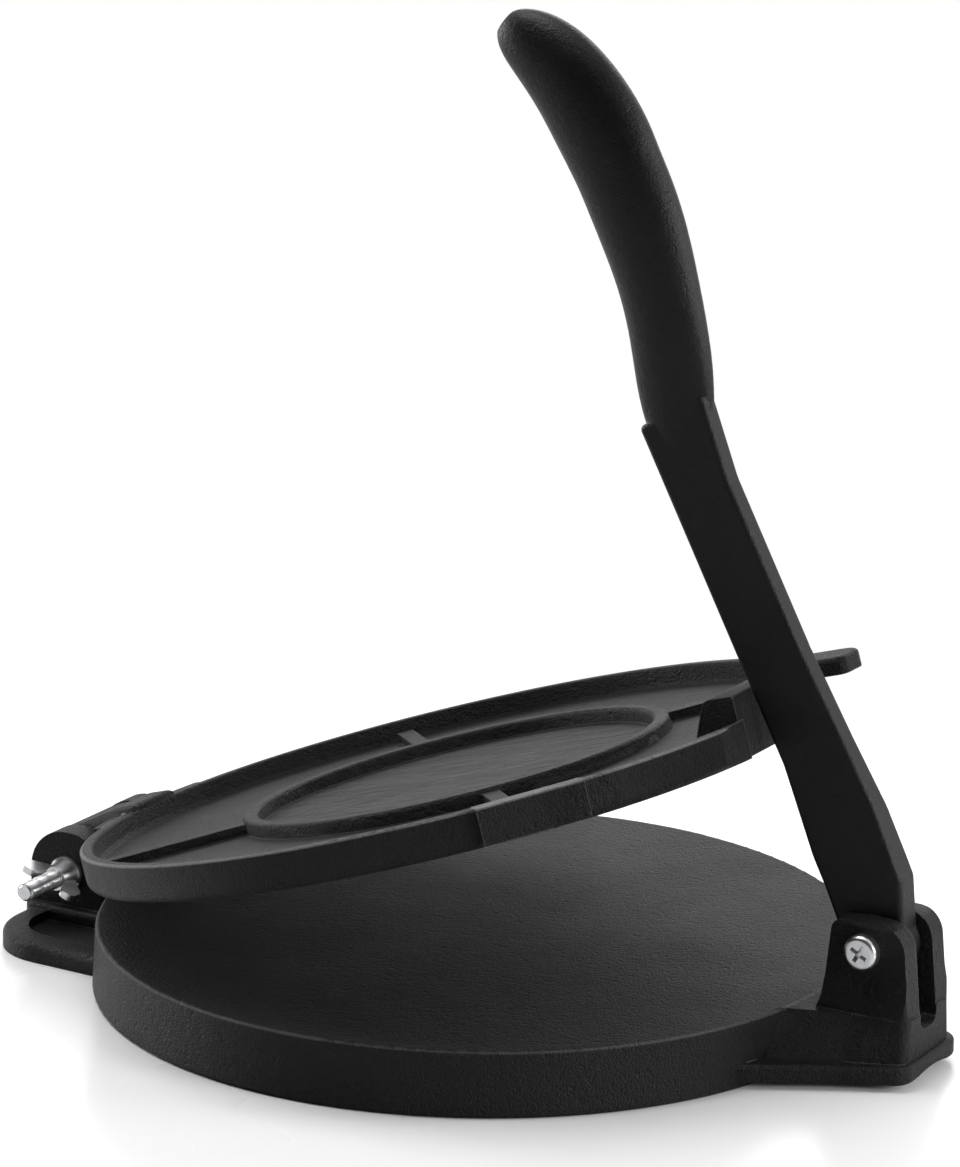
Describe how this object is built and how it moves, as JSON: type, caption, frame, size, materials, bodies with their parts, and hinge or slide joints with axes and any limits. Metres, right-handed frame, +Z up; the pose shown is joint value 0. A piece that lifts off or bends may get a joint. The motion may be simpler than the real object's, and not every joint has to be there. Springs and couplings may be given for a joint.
{
  "type": "tortilla press",
  "caption": "Cast-iron tortilla press: round base, hinged upper plate with a lifting tab, and a pivoting lever with a curved handle.",
  "frame": {"origin": "centre of the round base, on the table", "axes": "+X towards the lever, +Z up, -Y is the front, which the wing nut faces"},
  "size_m": [0.2717, 0.2108, 0.2701],
  "materials": {
    "iron": "satin",
    "zinc": "bright"
  },
  "bodies": {
    "base": {"base_plate": "iron", "hinge_screw": "zinc", "hinge_washer": "zinc", "lever_screw": "zinc", "lever_washer": "zinc", "lever_nut": "zinc"},
    "plate": {"upper_plate": "iron"},
    "lever": {"press_lever": "iron"},
    "wing_nut": {"hinge_wing_nut": "zinc"}
  },
  "joints": [
    {"name": "plate_hinge", "type": "hinge", "parent": "base", "child": "plate", "pos_m": [-0.121, 0, 0.0165], "axis": [0, -1, 0], "range_deg": [-16.85, 78]},
    {"name": "lever_pivot", "type": "hinge", "parent": "base", "child": "lever", "pos_m": [0.1217, 0, 0.035], "axis": [0, 1, 0], "range_deg": [0, 112]},
    {"name": "wing_nut_turn", "type": "hinge", "parent": "base", "child": "wing_nut", "pos_m": [-0.121, -0.025, 0.0165], "axis": [0, -1, 0], "continuous": true}
  ]
}
